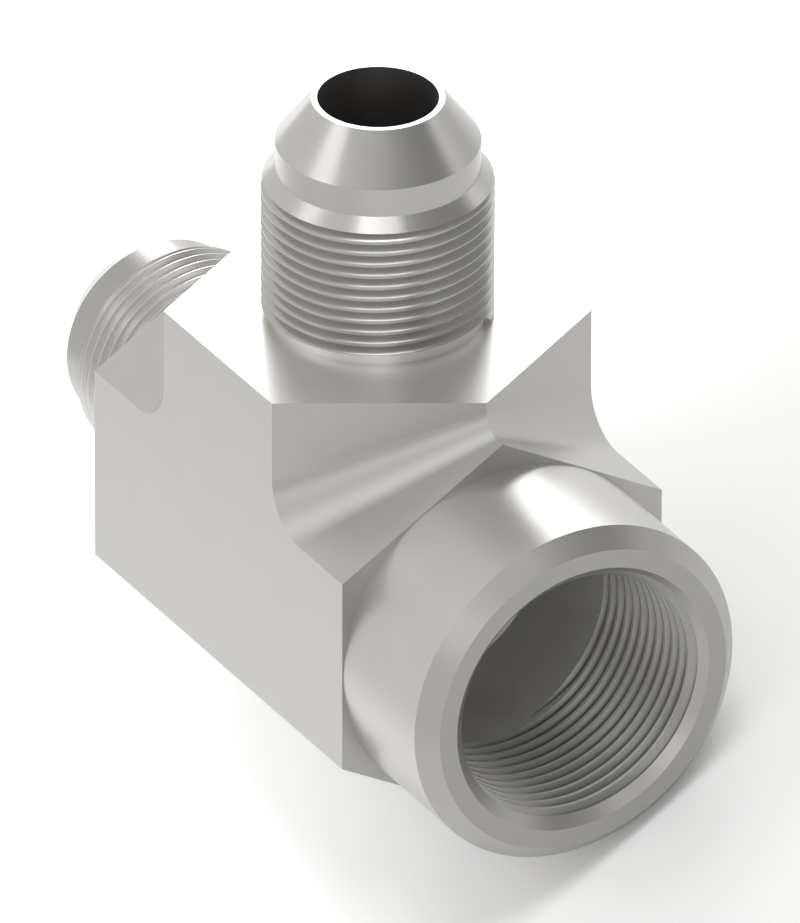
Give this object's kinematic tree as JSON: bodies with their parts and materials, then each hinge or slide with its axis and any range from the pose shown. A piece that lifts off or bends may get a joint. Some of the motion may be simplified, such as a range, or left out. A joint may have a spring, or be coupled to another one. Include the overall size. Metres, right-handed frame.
{
  "type": "flare tee fitting",
  "caption": "Solid steel tee for hydraulic tube: flare ends on the run and the branch, a female pipe-threaded port on the run's other end, and hexagon wrench flats.",
  "frame": {"origin": "on the lower flat of the run's hexagon, straight below the point where the run's and the branch's axes cross", "axes": "+X along the run, out of the female port; -Z square out of the flat that the tee lies on; the branch leans 30 degrees from +Z towards +Y"},
  "size_m": [0.0729, 0.0427, 0.0524],
  "materials": {
    "machined_steel": "satin"
  },
  "bodies": {
    "root": {"tee_body": "machined_steel"}
  },
  "joints": []
}
